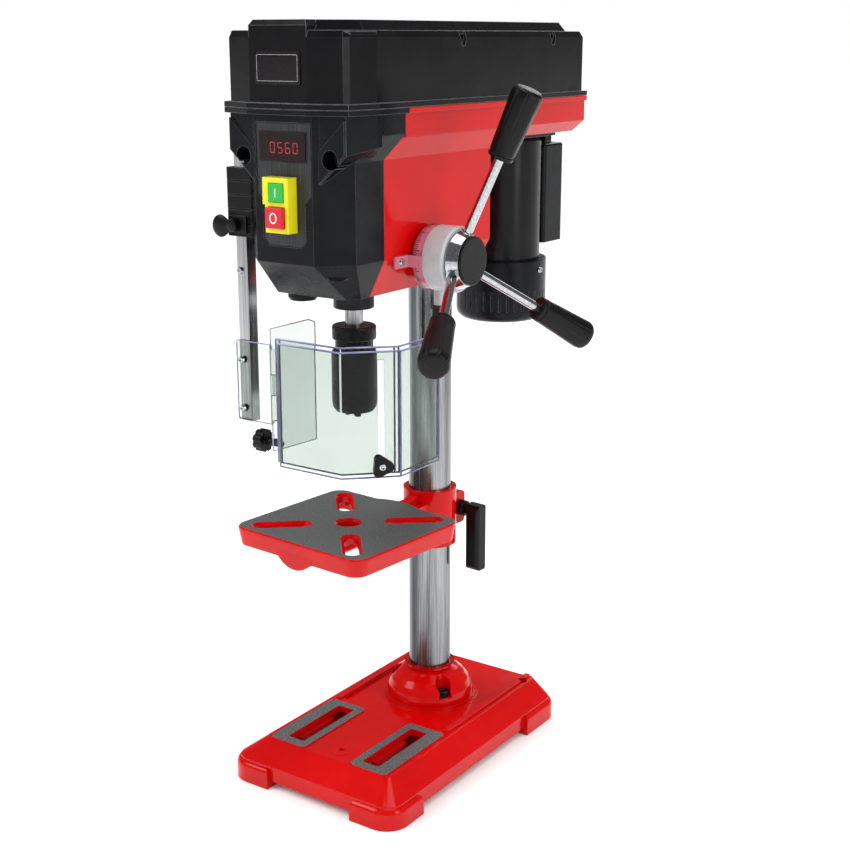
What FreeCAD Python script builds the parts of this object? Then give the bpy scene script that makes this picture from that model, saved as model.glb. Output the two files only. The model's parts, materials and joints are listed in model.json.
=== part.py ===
import FreeCAD, Part
import math
import os

# Bench drill press. Millimetres. Origin on the column axis at the bench plane.
# +Z is up the column, -Y is the operator's side, +X is the operator's right.

# ---- driving dimensions ----
col_r = 24.0            # column, 48 mm drawn steel tube
col_wall = 3.5
col_top = 690.0
throw = 138.5           # column axis to spindle axis
base_w = 113.0          # base half width over the feet
base_front = -231.5
base_back = 114.2
skirt_in = 5.0          # skirt set back from the feet
skirt_lift = 8.0        # gap under the skirt between the feet
base_top = 42.6
pad_top = 44.1
dome_r = 50.0
dome_z0 = 44.0
dome_z1 = 83.0
table_top = 290.0
table_hw = 90.0
table_y0 = -223.5
table_y1 = -57.0
table_plate = 10.0
table_swing = -4.8      # table turned about the column, degrees
tilt_z = 264.0
quill_r = 21.0
quill_low = 525.0
quill_high = 676.0
quill_travel = 50.0
spindle_r = 8.2
pin_module = 1.5
pin_teeth = 25
rack_back = 19.5        # rack pitch line from the quill axis
feed_z = 578.0
pan_z = 727.6           # joint between belt pan and belt cover
cover_top = 808.0
motor_y = 149.0
motor_r = 44.6
skirt_r = 52.6
lever_len = 183.5
lever_splay = 24.0
lever_phase = 4.0
gap = 0.3               # clearance between parts that move

spin_y = -throw
pin_r = pin_module * pin_teeth / 2.0
feed_y = spin_y + rack_back + pin_r

Vec = FreeCAD.Vector
X = Vec(1, 0, 0)
Y = Vec(0, 1, 0)
Z = Vec(0, 0, 1)
parts = {}


# ---- small builders ----
def box(x0, x1, y0, y1, z0, z1):
    return Part.makeBox(x1 - x0, y1 - y0, z1 - z0, Vec(x0, y0, z0))


def rod(p, r, h, d=Z):
    return Part.makeCylinder(r, h, Vec(*p), d)


def tube(p, ro, ri, h, d=Z):
    d = Vec(d)
    start = Vec(*p) - d * 1.0
    return Part.makeCylinder(ro, h, Vec(*p), d).cut(Part.makeCylinder(ri, h + 2.0, start, d))


def taper(p, r0, r1, h, d=Z):
    return Part.makeCone(r0, r1, h, Vec(*p), d)


def union(*shapes):
    flat = []
    for s in shapes:
        flat.extend(s if isinstance(s, (list, tuple)) else [s])
    out = flat[0]
    if len(flat) > 1:
        out = flat[0].fuse(flat[1:])
    return out.removeSplitter()


def less(a, *cutters):
    flat = []
    for s in cutters:
        flat.extend(s if isinstance(s, (list, tuple)) else [s])
    return a.cut(flat) if len(flat) > 1 else a.cut(flat[0])


def plate(points, z0, z1):
    pts = [Vec(p[0], p[1], z0) for p in points]
    wire = Part.makePolygon(pts + [pts[0]])
    return Part.Face(wire).extrude(Vec(0, 0, z1 - z0))


def slab_x(points, x0, x1):
    pts = [Vec(x0, p[0], p[1]) for p in points]
    wire = Part.makePolygon(pts + [pts[0]])
    return Part.Face(wire).extrude(Vec(x1 - x0, 0, 0))


def slab_y(points, y0, y1):
    pts = [Vec(p[0], y0, p[1]) for p in points]
    wire = Part.makePolygon(pts + [pts[0]])
    return Part.Face(wire).extrude(Vec(0, y1 - y0, 0))


def loft_flat(low, z0, high, z1):
    a = [Vec(p[0], p[1], z0) for p in low]
    b = [Vec(p[0], p[1], z1) for p in high]
    wa = Part.makePolygon(a + [a[0]])
    wb = Part.makePolygon(b + [b[0]])
    return Part.makeLoft([wa, wb], True, True)


def lathe(profile, centre, d=Z):
    pts = [Vec(p[0], 0, p[1]) for p in profile]
    wire = Part.makePolygon(pts + [pts[0]])
    solid = Part.Face(wire).revolve(Vec(0, 0, 0), Z, 360)
    solid.Placement = FreeCAD.Placement(Vec(*centre), FreeCAD.Rotation(Z, Vec(d)))
    return solid


def rounded_wire(x0, x1, y0, y1, r, z):
    k = r * (1.0 - math.sqrt(0.5))
    edges = []
    edges.append(Part.LineSegment(Vec(x0 + r, y0, z), Vec(x1 - r, y0, z)).toShape())
    edges.append(Part.Arc(Vec(x1 - r, y0, z), Vec(x1 - k, y0 + k, z), Vec(x1, y0 + r, z)).toShape())
    edges.append(Part.LineSegment(Vec(x1, y0 + r, z), Vec(x1, y1 - r, z)).toShape())
    edges.append(Part.Arc(Vec(x1, y1 - r, z), Vec(x1 - k, y1 - k, z), Vec(x1 - r, y1, z)).toShape())
    edges.append(Part.LineSegment(Vec(x1 - r, y1, z), Vec(x0 + r, y1, z)).toShape())
    edges.append(Part.Arc(Vec(x0 + r, y1, z), Vec(x0 + k, y1 - k, z), Vec(x0, y1 - r, z)).toShape())
    edges.append(Part.LineSegment(Vec(x0, y1 - r, z), Vec(x0, y0 + r, z)).toShape())
    edges.append(Part.Arc(Vec(x0, y0 + r, z), Vec(x0 + k, y0 + k, z), Vec(x0 + r, y0, z)).toShape())
    return Part.Wire(edges)


def rounded_plate(x0, x1, y0, y1, r, z0, z1):
    return Part.Face(rounded_wire(x0, x1, y0, y1, r, z0)).extrude(Vec(0, 0, z1 - z0))


def rounded_loft(a, ra, za, b, rb, zb):
    return Part.makeLoft([rounded_wire(*a, ra, za), rounded_wire(*b, rb, zb)], True, True)


def turned(shape, degrees, axis=Z, at=(0, 0, 0)):
    s = shape.copy()
    s.rotate(Vec(*at), Vec(axis), degrees)
    return s


def moved(shape, dx, dy, dz):
    s = shape.copy()
    s.translate(Vec(dx, dy, dz))
    return s


def mirror_x(shape):
    return shape.mirror(Vec(0, 0, 0), X)


def soften(shape, picks, radius):
    edges = [e for e in shape.Edges if picks(e)]
    for r in (radius, radius * 0.6, radius * 0.3):
        try:
            out = shape.makeFillet(r, edges)
            if out.isValid() and out.Volume > 0:
                return out
        except Exception:
            continue
    return shape


def upright(e):
    if len(e.Vertexes) < 2:
        return False
    a = e.Vertexes[0].Point
    b = e.Vertexes[-1].Point
    return abs(a.x - b.x) < 1e-6 and abs(a.y - b.y) < 1e-6 and abs(a.z - b.z) > 1e-6


def add(name, shape):
    parts[name] = shape


def hex_socket(p, r, depth, d):
    d = Vec(d)
    pts = []
    for i in range(7):
        a = math.radians(60 * i)
        pts.append(Vec(r * math.cos(a), r * math.sin(a), 0))
    s = Part.Face(Part.makePolygon(pts)).extrude(Vec(0, 0, depth))
    s.Placement = FreeCAD.Placement(Vec(*p), FreeCAD.Rotation(Z, d))
    return s


def cap_screw(p, d, head_r, head_h, shank_r, shank_l):
    d = Vec(d)
    p = Vec(*p)
    head = Part.makeCylinder(head_r, head_h, p, d)
    shank = Part.makeCylinder(shank_r, shank_l, p - d * shank_l, d)
    socket = hex_socket(tuple(p + d * (head_h * 0.4)), head_r * 0.55, head_h, d)
    return union(head, shank).cut(socket)


def pan_screw(p, d, head_r, head_h, shank_r, shank_l):
    d = Vec(d)
    p = Vec(*p)
    head = Part.makeCone(head_r, head_r * 0.72, head_h, p, d)
    shank = Part.makeCylinder(shank_r, shank_l, p - d * shank_l, d)
    body = union(head, shank)
    for turn in (0, 90):
        bar = Part.makeBox(head_r * 1.1, head_r * 0.28, head_h, Vec(-head_r * 0.55, -head_r * 0.14, 0))
        bar.rotate(Vec(0, 0, 0), Z, turn)
        seat = FreeCAD.Placement(p + d * head_h * 0.45, FreeCAD.Rotation(Z, d))
        bar.Placement = seat.multiply(bar.Placement)
        body = body.cut(bar)
    return body


# ---- base casting ----
bx = base_w - skirt_in
b_y0 = base_front + skirt_in
b_y1 = base_back - skirt_in
skirt = rounded_plate(-bx, bx, b_y0, b_y1, 20.0, skirt_lift, 25.0)
slope = rounded_loft((-bx, bx, b_y0, b_y1), 20.0, 25.0, (-84.5, 84.5, -199.0, 103.0), 8.0, base_top)
base = union(skirt, slope)
foot_spans = ((56.0, base_w, base_front, -176.0), (56.0, base_w, 38.0, base_back))
for fx0, fx1, fy0, fy1 in foot_spans:
    foot = box(fx0, fx1, fy0, fy1, 0.0, 24.0)
    far_y = base_front if fy0 == base_front else base_back
    corner = [e for e in foot.Edges if upright(e)]
    corner = [e for e in corner if abs(e.CenterOfMass.x - fx1) < 1 and abs(e.CenterOfMass.y - far_y) < 1]
    foot = foot.makeFillet(26.0, corner)
    foot = soften(foot, lambda e: e.CenterOfMass.z > 23.9, 8.0)
    base = union(base, foot, mirror_x(foot))
pads = []
for sx in (-1, 1):
    x_a = min(sx * 30.8, sx * 78.6)
    pads.append(rounded_plate(x_a, x_a + 47.8, -198.0, -85.0, 5.0, 30.0, pad_top))
lips = []
for sx in (-1, 1):
    x_a = min(sx * 72.0, sx * 79.0)
    lips.append(rounded_plate(x_a, x_a + 7.0, -80.0, 102.0, 3.0, 30.0, base_top + 2.2))
base = union(base, pads, lips)
base = less(base, rounded_plate(-96.0, 96.0, -214.0, 97.0, 12.0, -1.0, 16.0))
base = less(base, rounded_plate(-70.0, 70.0, -190.0, 92.0, 8.0, 15.0, 36.0))
base = less(base, rounded_plate(-71.0, 71.0, -76.0, 120.0, 6.0, base_top - 2.0, 60.0))
ribs = [box(-4.0, 4.0, -192.0, 94.0, 6.0, 37.0), box(-72.0, 72.0, -4.0, 4.0, 6.0, 37.0)]
ribs.append(box(-72.0, 72.0, -78.0, -72.0, 6.0, 37.0))
base = union(base, ribs, rod((0, 0, 0), 56.0, 41.0), rod((0, 0, 40.5), 52.7, dome_z0 - 40.5))
base = less(base, rod((0, 0, -1), 30.0, 21.0), rod((0, 0, 19), col_r + 0.05, 60.0))
for sx in (-1, 1):
    x_c = sx * 51.0
    base = less(base, rounded_plate(x_c - 11.0, x_c + 11.0, -187.0, -95.0, 3.0, -1.0, 60.0))
    ledge = box(x_c - 11.5, x_c - 6.0, -170.0, -112.0, 26.0, 36.0)
    base = union(base, ledge)
    base = less(base, rod((sx * 78.0, 84.0, -1), 5.0, 60.0))
base = union(base, rod((5.0, -177.0, base_top - 0.5), 12.5, 0.9))
base = less(base, rod((5.0, -177.0, 30.0), 3.2, 30.0))
screw_angles = (-33.0, 87.0, 207.0)
for a in screw_angles:
    sx = 40.0 * math.cos(math.radians(a))
    sy = 40.0 * math.sin(math.radians(a))
    base = less(base, rod((sx, sy, 24.0), 4.0, 40.0))
base = base.removeSplitter()
add("base_plate", base)

# ---- column flange and column ----
dome_pts = [(col_r + 0.05, dome_z0), (dome_r, dome_z0), (dome_r + 0.2, dome_z0 + 5.0)]
for i in range(1, 7):
    a = math.radians(i * 12.0)
    dome_pts.append((dome_r * math.cos(a) * 0.995, dome_z0 + 4.0 + 36.0 * math.sin(a)))
dome_pts.append((29.5, dome_z1))
dome_pts.append((27.0, dome_z1))
dome_pts.append((27.0, dome_z1 - 4.0))
dome_pts.append((col_r + 0.05, dome_z1 - 4.0))
dome = lathe(dome_pts, (0, 0, 0))
screws = []
for a in screw_angles:
    sx = 40.0 * math.cos(math.radians(a))
    sy = 40.0 * math.sin(math.radians(a))
    pocket = rod((sx, sy, dome_z0 + 9.0), 9.0, 60.0)
    push = Vec(math.cos(math.radians(a)), math.sin(math.radians(a)), 0) * 12.0
    pocket = union(pocket, moved(pocket, push.x, push.y, 0))
    dome = less(dome, pocket, rod((sx, sy, dome_z0 - 1.0), 4.4, 20.0))
    screws.append(cap_screw((sx, sy, dome_z0 + 9.0), Z, 6.5, 7.0, 4.0, 27.0))
add("column_flange", dome)
add("flange_screws", Part.makeCompound(screws))
col = tube((0, 0, 20.0), col_r, col_r - col_wall, col_top - 20.0)
add("column", col)

# ---- table, bracket, tilt bolt, column clamp ----
tz0 = table_top - 20.0
half = table_hw
plan = (-half, half, table_y0, table_y1)
low_plan = (plan[0] + 3, plan[1] - 3, plan[2] + 2, plan[3] - 1)
edge_plan = (plan[0] + 1.5, plan[1] - 1.5, plan[2] + 1.5, plan[3] - 0.1)
tab = rounded_loft(low_plan, 15.0, tz0, plan, 16.0, table_top - 4.0)
tab = union(tab, rounded_plate(*plan, 16.0, table_top - 4.0, table_top - 1.5))
tab = union(tab, rounded_loft(plan, 16.0, table_top - 1.5, edge_plan, 15.0, table_top))
bulge = rod((0, table_y1 - 54.0, tz0), 62.0, 20.0)
tab = union(tab, bulge.common(box(-70, 70, table_y1 - 12.0, table_y1 + 8.0, tz0, table_top)))
inner = (plan[0] + 10, plan[1] - 10, plan[2] + 9, plan[3] - 7)
tab = less(tab, rounded_plate(*inner, 8.0, tz0 - 1.0, table_top - table_plate))
boss_len = table_y1 - table_y0
keel = rod((0, table_y0 + 1.0, tilt_z + 26.0), 30.0, boss_len - 1.0, Y)
keel = keel.common(box(-40, 40, table_y0, table_y1 + 1.0, tilt_z - 10.0, table_top - 4.0))
face_boss = rod((0, table_y1 - 22.0, tilt_z), 27.0, 22.0, Y)
face_boss = face_boss.common(box(-40, 40, table_y1 - 30, table_y1 + 1, tilt_z - 40, table_top - 3.0))
tab = union(tab, keel, face_boss)
tab = less(tab, box(-60, 60, table_y1 + 0.01, table_y1 + 20.0, tz0 - 1.0, table_top - table_plate))
tab = less(tab, rod((0, -throw, tz0 - 30.0), 12.0, 80.0))
tab = less(tab, taper((0, -throw, table_top - 3.0), 12.0, 15.2, 3.2))
tab = less(tab, rod((0, table_y1 - 45.0, tilt_z), 6.4, 60.0, Y))
tab = less(tab, box(-13.0, 13.0, table_y1 - 60.0, table_y1 - 22.0, tilt_z - 40.0, table_top - table_plate))
slot_c = -throw
for ang in (45, 135, 225, 315):
    s = rounded_plate(42.0, 100.0, -7.0, 7.0, 6.9, tz0 - 30.0, table_top + 1.0)
    rim_low = (42.0, 100.0, -7.0, 7.0)
    rim_high = (38.5, 103.5, -10.5, 10.5)
    rim = rounded_loft(rim_low, 6.9, table_top - 3.5, rim_high, 10.4, table_top)
    rim = union(rim, rounded_plate(38.5, 103.5, -10.5, 10.5, 10.4, table_top, table_top + 1.0))
    s = turned(union(s, rim), ang)
    s = moved(s, 0, slot_c, 0)
    tab = less(tab, s)
tab = tab.removeSplitter()
add("table", turned(tab, table_swing))

y_face = table_y1 + gap
collar = tube((0, 0, 232.0), 30.5, col_r + 0.1, 66.0)
neck_end = table_y1 + 8.4
arm = union(rod((0, y_face, tilt_z), 15.4, 12.0, Y), box(-17.0, 17.0, neck_end, -20.0, 240.0, 284.0))
arm = union(arm, slab_x([(neck_end, 240.0), (-22.0, 234.0), (-22.0, 296.0), (neck_end, 286.0)], -6.0, 6.0))
bracket = union(collar, arm)
ears = box(-14.0, 14.0, 27.0, 47.0, 246.0, 284.0)
ears = soften(ears, lambda e: abs(e.CenterOfMass.y - 47.0) < 0.1 and not upright(e), 5.0)
bracket = union(bracket, ears)
bracket = less(bracket, rod((0, 0, 200.0), col_r + 0.1, 120.0), box(-2.0, 2.0, 20.0, 60.0, 200.0, 320.0))
bracket = less(bracket, rod((-20, 38.0, 265.0), 5.1, 60.0, X))
bracket = less(bracket, rod((0, y_face - 1.0, tilt_z), 6.1, 24.0, Y))
bracket = less(bracket, rod((0, y_face + 22.0, tilt_z), 12.0, 15.0, Y))
add("table_bracket", turned(bracket.removeSplitter(), table_swing))

bolt_head_y = y_face + 22.2
tbolt = rod((0, table_y1 - 34.0, tilt_z), 6.0, bolt_head_y - table_y1 + 34.0, Y)
head = hex_socket((0, bolt_head_y, tilt_z), 10.0, 6.5, Y)
nut = hex_socket((0, table_y1 - 22.0 - gap - 10.0, tilt_z), 10.0, 8.0, Y)
washer = rod((0, table_y1 - 22.0 - gap - 2.0, tilt_z), 12.0, 2.0, Y)
tbolt = union(tbolt, head, nut, washer)
add("tilt_bolt", turned(tbolt, table_swing))

stud = union(rod((-15.5, 38.0, 265.0), 5.0, 59.0, X), hex_socket((-21.5, 38.0, 265.0), 8.5, 6.0, X))
add("clamp_stud", turned(stud, table_swing))
hub = tube((14.4, 38.0, 265.0), 9.0, 5.2, 8.0, X)
hub2 = tube((20.0, 38.0, 265.0), 7.2, 5.2, 9.0, X)
bar_side = [(29.0, 267.0), (32.5, 273.0), (43.5, 273.0), (47.0, 267.0), (47.0, 199.0), (43.5, 195.0)]
bar_side += [(32.5, 195.0), (29.0, 199.0)]
bar = slab_x(bar_side, 28.0, 47.0)
bar = soften(bar, upright, 4.0)
bar = less(bar, rod((20.0, 38.0, 265.0), 5.2, 24.0, X))
lever = union(hub, hub2, bar)
add("clamp_lever", turned(lever.removeSplitter(), table_swing))

# ---- head casting ----
cast_low = 546.0
cast_foot = [(-50, -178), (50, -178), (50, 8), (38, 18), (-38, 18), (-50, 8)]
cast_mid = [(-64, -172), (64, -172), (64, 20), (56, 28), (-56, 28), (-64, 20)]
cast_head = [(-74.5, -154.5), (74.5, -154.5), (74.5, 22), (62, 32), (-62, 32), (-74.5, 22)]
cast = loft_flat(cast_foot, cast_low, cast_mid, 583.0)
cast = union(cast, plate(cast_mid, 583.0, 679.0), loft_flat(cast_mid, 679.0, cast_head, 700.0))
cast = union(cast, rod((0, 0, cast_low - 4.0), 33.0, 40.0))
cast = union(cast, rod((60.0, feed_y, feed_z), 27.0, 9.4, X))
cast = union(cast, rod((-69.4, feed_y, feed_z), 22.0, 9.4, X))
hollow = box(-55.0, 55.0, -114.0, -34.0, 606.0, 692.0)
cast = less(cast, hollow, box(28.0, 57.0, -160.0, 14.0, 612.0, 692.0))
cast = less(cast, box(-57.0, -28.0, -160.0, -20.0, 612.0, 692.0))
hollow2 = box(-55.0, 55.0, -200.0, -165.0, 590.0, 692.0)
cast = less(cast, hollow2)
cast = less(cast, rod((0, spin_y, 500.0), quill_r + 0.08, 300.0))
cast = less(cast, rod((0, 0, 500.0), col_r + 0.05, 191.0))
cast = less(cast, rod((-80.0, feed_y, feed_z), 9.1, 160.0, X))
cast = less(cast, rod((-12.0, feed_y, feed_z), pin_r + 2.4, 24.0, X))
cast = less(cast, rod((0, 0, 690.0), 18.0, 12.0))
cast = less(cast, rod((-70.0, -2.0, 630.0), 4.05, 48.0, X), rod((-70.0, -2.0, 665.0), 4.05, 48.0, X))
add("head_casting", cast.removeSplitter())
set_screws = []
for sz in (630.0, 665.0):
    s = rod((-62.0, -2.0, sz), 4.0, 37.8, X)
    s = s.cut(hex_socket((-63.0, -2.0, sz), 2.2, 5.0, X))
    set_screws.append(s)
add("head_lock_screws", Part.makeCompound(set_screws))

# ---- belt pan ----
rim_out = [(-80.6, 200), (80.6, 200), (80.6, -199), (75, -240.6), (35.5, -253.2), (-35.5, -253.2),
           (-75, -240.6), (-80.6, -199)]
wall_out = [(-76, 195), (76, 195), (76, -197), (71.4, -233), (68, -238.6), (34.5, -249), (-34.5, -249),
            (-68, -238.6), (-71.4, -233), (-76, -197)]


def shrink(points, d):
    out = []
    n = len(points)
    for i in range(n):
        a = points[i - 1]
        b = points[i]
        c = points[(i + 1) % n]
        e1 = (b[0] - a[0], b[1] - a[1])
        e2 = (c[0] - b[0], c[1] - b[1])
        l1 = math.hypot(*e1)
        l2 = math.hypot(*e2)
        n1 = (e1[1] / l1, -e1[0] / l1)
        n2 = (e2[1] / l2, -e2[0] / l2)
        k = 1.0 + n1[0] * n2[0] + n1[1] * n2[1]
        out.append((b[0] + d * (n1[0] + n2[0]) / k, b[1] + d * (n1[1] + n2[1]) / k))
    return out


pan_out = [(-76, 203), (76, 203), (76, -152), (-76, -152)]
pan = plate(pan_out, 700.0, 722.6)
tail_low = [(-66, 193), (66, 193), (66, 42), (-66, 42)]
tail = loft_flat(tail_low, 688.0, [(-76, 203), (76, 203), (76, 36), (-76, 36)], 700.0)
pan = union(pan, tail, plate([(-80.6, 200), (80.6, 200), (80.6, -152), (-80.6, -152)], 722.6, pan_z))
pan = less(pan, box(-71.0, 71.0, -153.0, 194.0, 703.5, 740.0))
well_low = [(-62, 189), (62, 189), (62, 47), (-62, 47)]
pan = less(pan, loft_flat(well_low, 691.5, [(-71, 194), (71, 194), (71, 42), (-71, 42)], 703.6))
pan = union(pan, rod((0, spin_y, 700.0), 26.0, 20.0).common(box(-70, 70, -151.9, 60, 690, 730)))
pan = less(pan, rod((0, spin_y, 690.0), 14.16, 50.0), rod((0, motor_y, 680.0), 20.0, 30.0))
for sx in (-1, 1):
    pan = less(pan, rod((sx * 40.0, motor_y - 34.0, 680.0), 4.2, 20.0))
    pan = less(pan, rod((sx * 40.0, motor_y + 30.0, 680.0), 4.2, 20.0))
pan_ears = [box(-88.0, -80.0, y0, y0 + 12.0, 718.0, pan_z) for y0 in (-100.0, 140.0)]
pan = union(pan, pan_ears)
for y0 in (-100.0, 140.0):
    pan = union(pan, rod((-87.0, y0, 722.6), 5.0, 12.0, Y))
pan = less(pan, rod((-87.0, -130.0, 722.6), 2.05, 320.0, Y))
add("belt_pan", pan.removeSplitter())
pins = [rod((-87.0, y0 - 14.0, 722.6), 2.0, 40.0, Y) for y0 in (-100.0, 140.0)]
add("hinge_pins", Part.makeCompound(pins))

# ---- belt cover ----
cover_rim = plate(rim_out, pan_z + 0.3, 733.2)
cover = union(cover_rim, plate(wall_out, 733.0, 792.0))
cover = union(cover, loft_flat(wall_out, 792.0, shrink(wall_out, 3.0), 798.5))
plateau = [(-62, 180), (62, 180), (62, -200), (34, -236), (-34, -236), (-62, -200)]
cover = union(cover, loft_flat(plateau, 798.0, shrink(plateau, 6.0), cover_top))
nose = [(-31.0, -200.0), (31.0, -200.0), (34.5, -249.0), (-34.5, -249.0)]
cover = union(cover, plate(nose, 733.0, 803.0), loft_flat(nose, 803.0, shrink(nose, 3.0), cover_top))
cheek = slab_x([(-197.0, 780.5), (-236.0, 797.5), (-197.0, 797.5)], 60.0, 76.0)
cheek = cheek.common(plate(shrink(wall_out, 1.0), 733.0, 800.0))
cover = union(cover, cheek, mirror_x(cheek))
cavity = shrink(wall_out, 3.2)
cover = less(cover, plate(cavity, 700.0, 795.0))
cover = less(cover, plate([(-31.5, -246.0), (31.5, -246.0), (28.0, -215.0), (-28.0, -215.0)], 700.0, 800.0))
for y0 in (-52.0, 128.0):
    for sx in (-1, 1):
        dimple = taper((sx * 76.2, y0, 784.0), 3.0, 7.0, 16.0)
        room = box(sx * 76.0 - 4.0, sx * 76.0 + 4.0, y0 - 12.0, y0 + 12.0, 784.0, 800.0)
        cover = less(cover, dimple.common(room))
lugs = []
for y0 in (-114.0, -87.7, 126.0, 152.3):
    lug = union(rod((-87.0, y0, 722.6), 5.0, 13.7, Y), box(-91.5, -80.0, y0, y0 + 13.7, 728.2, 733.2))
    lug = union(lug, box(-91.5, -88.0, y0, y0 + 13.7, 722.6, 730.0))
    lugs.append(lug)
cover = union(cover, lugs)
cover = less(cover, rod((-87.0, -130.0, 722.6), 2.08, 320.0, Y))
add("belt_cover", cover.removeSplitter())
add("badge_plate", rounded_plate(-27.0, 27.0, 0, 30.0, 2.0, 0, 1.2))
badge = parts["badge_plate"]
badge.rotate(Vec(0, 0, 0), X, 90)
badge.translate(Vec(0, -249.0, 750.0))

# ---- front housing ----
low_out = [(-64, -172.2), (64, -172.2), (64, -217), (35, -245), (-35, -245), (-64, -217)]
toe_out = [(-50, -178.2), (50, -178.2), (50, -192), (43, -206), (-43, -206), (-50, -192)]
shell = union(plate(low_out, 583.0, 722.6), loft_flat(toe_out, cast_low, low_out, 583.0))
flare_a = [(-64, -172.2), (64, -172.2), (64, -217), (-64, -217)]
flare_b = [(-76, -152.2), (76, -152.2), (76, -197), (-76, -197)]
shell = union(shell, loft_flat(flare_a, 679.0, flare_b, 703.0))
crown = [(-76, -152.2), (76, -152.2), (76, -197), (70, -238), (-70, -238), (-76, -197)]
shell = union(shell, plate(crown, 703.0, 722.6))
corner = plate([(25, -190), (76, -190), (76, -197), (70, -238), (25, -241)], 650.0, 722.6)
corner = corner.common(slab_y([(36, 655), (78, 694.0), (78, 722.6), (24, 722.6), (24, 655)], -260.0, -180.0))
pad = slab_y([(40, 690.5), (69.5, 718.0), (69.5, 688.0), (39.5, 660.0)], -240.8, -225.0)
pad_plan = plate([(25, -190), (76, -190), (76, -197), (70.8, -241), (25, -243)], 640.0, 722.6)
corner = union(corner, pad.common(pad_plan))
shell = union(shell, corner, mirror_x(corner))
rim_front = [p for p in rim_out if p[1] < -152]
rim_front = [(80.6, -152.2)] + rim_front + [(-80.6, -152.2)]
shell = union(shell, plate(rim_front, 722.6, pan_z))
low_in = [(-60.5, -171.0), (60.5, -171.0), (60.5, -215), (33.5, -241.5), (-33.5, -241.5), (-60.5, -215)]
toe_in = [(-46, -177), (46, -177), (46, -190), (40, -202), (-40, -202), (-46, -190)]
crown_in = [(-72.5, -150.0), (72.5, -150.0), (72.5, -197), (66.5, -234), (-66.5, -234), (-72.5, -197)]
shell = less(shell, plate(low_in, 583.0, 730.0), loft_flat(toe_in, 550.0, low_in, 583.1))
shell = less(shell, plate(crown_in, 706.0, 730.0))
shell = less(shell, box(-61.0, 61.0, -174.0, -150.0, 583.0, 710.0))
cup_room = union(plate(low_out, 583.0, 722.6), corner)
cup = rod((52.5, -238.5, 682.5), 11.0, 19.5, Y).common(cup_room)
shell = union(shell, cup, mirror_x(cup))
for sx in (-1, 1):
    shell = less(shell, rod((sx * 52.5, -246.0, 682.5), 9.0, 24.5, Y))
n_x = 29.0 / math.hypot(29.0, 28.0)
n_y = 28.0 / math.hypot(29.0, 28.0)
recess = Part.makeCylinder(6.0, 4.0)
recess_m = FreeCAD.Matrix()
recess_m.scale(1.7, 1.0, 1.0)
recess = recess.transformGeometry(recess_m)
recess_turn = FreeCAD.Rotation(Vec(n_y, n_x, 0), Z, Vec(n_x, -n_y, -1.0), "ZXY")
recess.Placement = FreeCAD.Placement(Vec(46.0, -223.0, 571.0), recess_turn)
shell = less(shell, recess)
panel_out = [(33, 715.5), (33, 649), (26, 641), (26, 605), (20, 599.5)]
panel_out += [(-p[0], p[1]) for p in reversed(panel_out)]
shell = less(shell, slab_y(panel_out, -246.0, -243.0))
add("front_housing", shell.removeSplitter())
small = [(p[0] * 0.985, 657.5 + (p[1] - 657.5) * 0.99) for p in panel_out]
panel = slab_y(small, -244.2, -243.0)
add("control_panel", panel)
window = box(-27.5, 27.5, -245.4, -244.2, 680.0, 706.5)
add("display_window", soften(window, lambda e: abs(e.Length - 1.2) < 1e-3, 2.5))

# ---- switch and buttons ----
sw_y0 = -258.0
switch = union(box(-15.5, 15.5, sw_y0, -244.2, 640.0, 665.5), box(-12.5, 15.5, sw_y0, -244.2, 613.5, 640.0))
switch = soften(switch, lambda e: abs(e.CenterOfMass.y - sw_y0) < 0.01, 1.0)
go = (-7.5, 10.5, 642.8, 660.2)
halt = (-8.5, 11.5, 618.5, 638.0)
for b in (go, halt):
    switch = less(switch, box(b[0] - 0.35, b[1] + 0.35, sw_y0 - 1.0, -249.0, b[2] - 0.35, b[3] + 0.35))
add("switch_body", switch)
start = box(go[0], go[1], -259.5, -252.5, go[2], go[3])
start = soften(start, lambda e: abs(e.CenterOfMass.y + 259.5) < 0.01, 0.8)
stop = box(halt[0], halt[1], -263.0, -252.5, halt[2], halt[3])
stop = soften(stop, lambda e: abs(e.CenterOfMass.y + 263.0) < 0.01, 1.0)
add("start_button", start)
add("stop_button", stop)

# ---- motor ----
mplate = rounded_plate(-50.0, 50.0, motor_y - 44.0, motor_y + 40.0, 8.0, 683.0, 688.0)
mplate = less(mplate, rod((0, motor_y, 680.0), 20.0, 12.0))
for sx in (-1, 1):
    for dy in (-34.0, 30.0):
        mplate = union(mplate, rod((sx * 40.0, motor_y + dy, 685.0), 4.0, 12.0))
        mplate = union(mplate, hex_socket((sx * 40.0, motor_y + dy, 676.5), 7.0, 6.5, Z))
add("motor_plate", mplate)
motor = rod((0, motor_y, 543.0), motor_r, 140.0)
motor = soften(motor, lambda e: e.CenterOfMass.z > 682.0, 5.0)
motor = less(motor, rod((0, motor_y, 655.0), 7.06, 40.0))
for sx in (-1, 1):
    for dy in (-34.0, 30.0):
        motor = less(motor, rod((sx * 40.0, motor_y + dy, 670.0), 8.2, 20.0))
add("motor_body", motor)
skirt_s = rod((0, motor_y, 471.0), skirt_r, 72.0)
skirt_s = soften(skirt_s, lambda e: e.CenterOfMass.z < 471.5, 12.0)
skirt_s = soften(skirt_s, lambda e: e.CenterOfMass.z > 542.5, 1.5)
room = soften(rod((0, motor_y, 475.0), skirt_r - 4.0, 64.0), lambda e: e.CenterOfMass.z < 475.5, 8.0)
skirt_s = less(skirt_s, room)
for i in range(36):
    a = 10.0 * i
    slot = box(skirt_r - 1.2, skirt_r + 2.0, -1.1, 1.1, 485.0, 507.0)
    slot = moved(turned(slot, a), 0, motor_y, 0)
    skirt_s = less(skirt_s, slot)
m_screws = []
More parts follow.
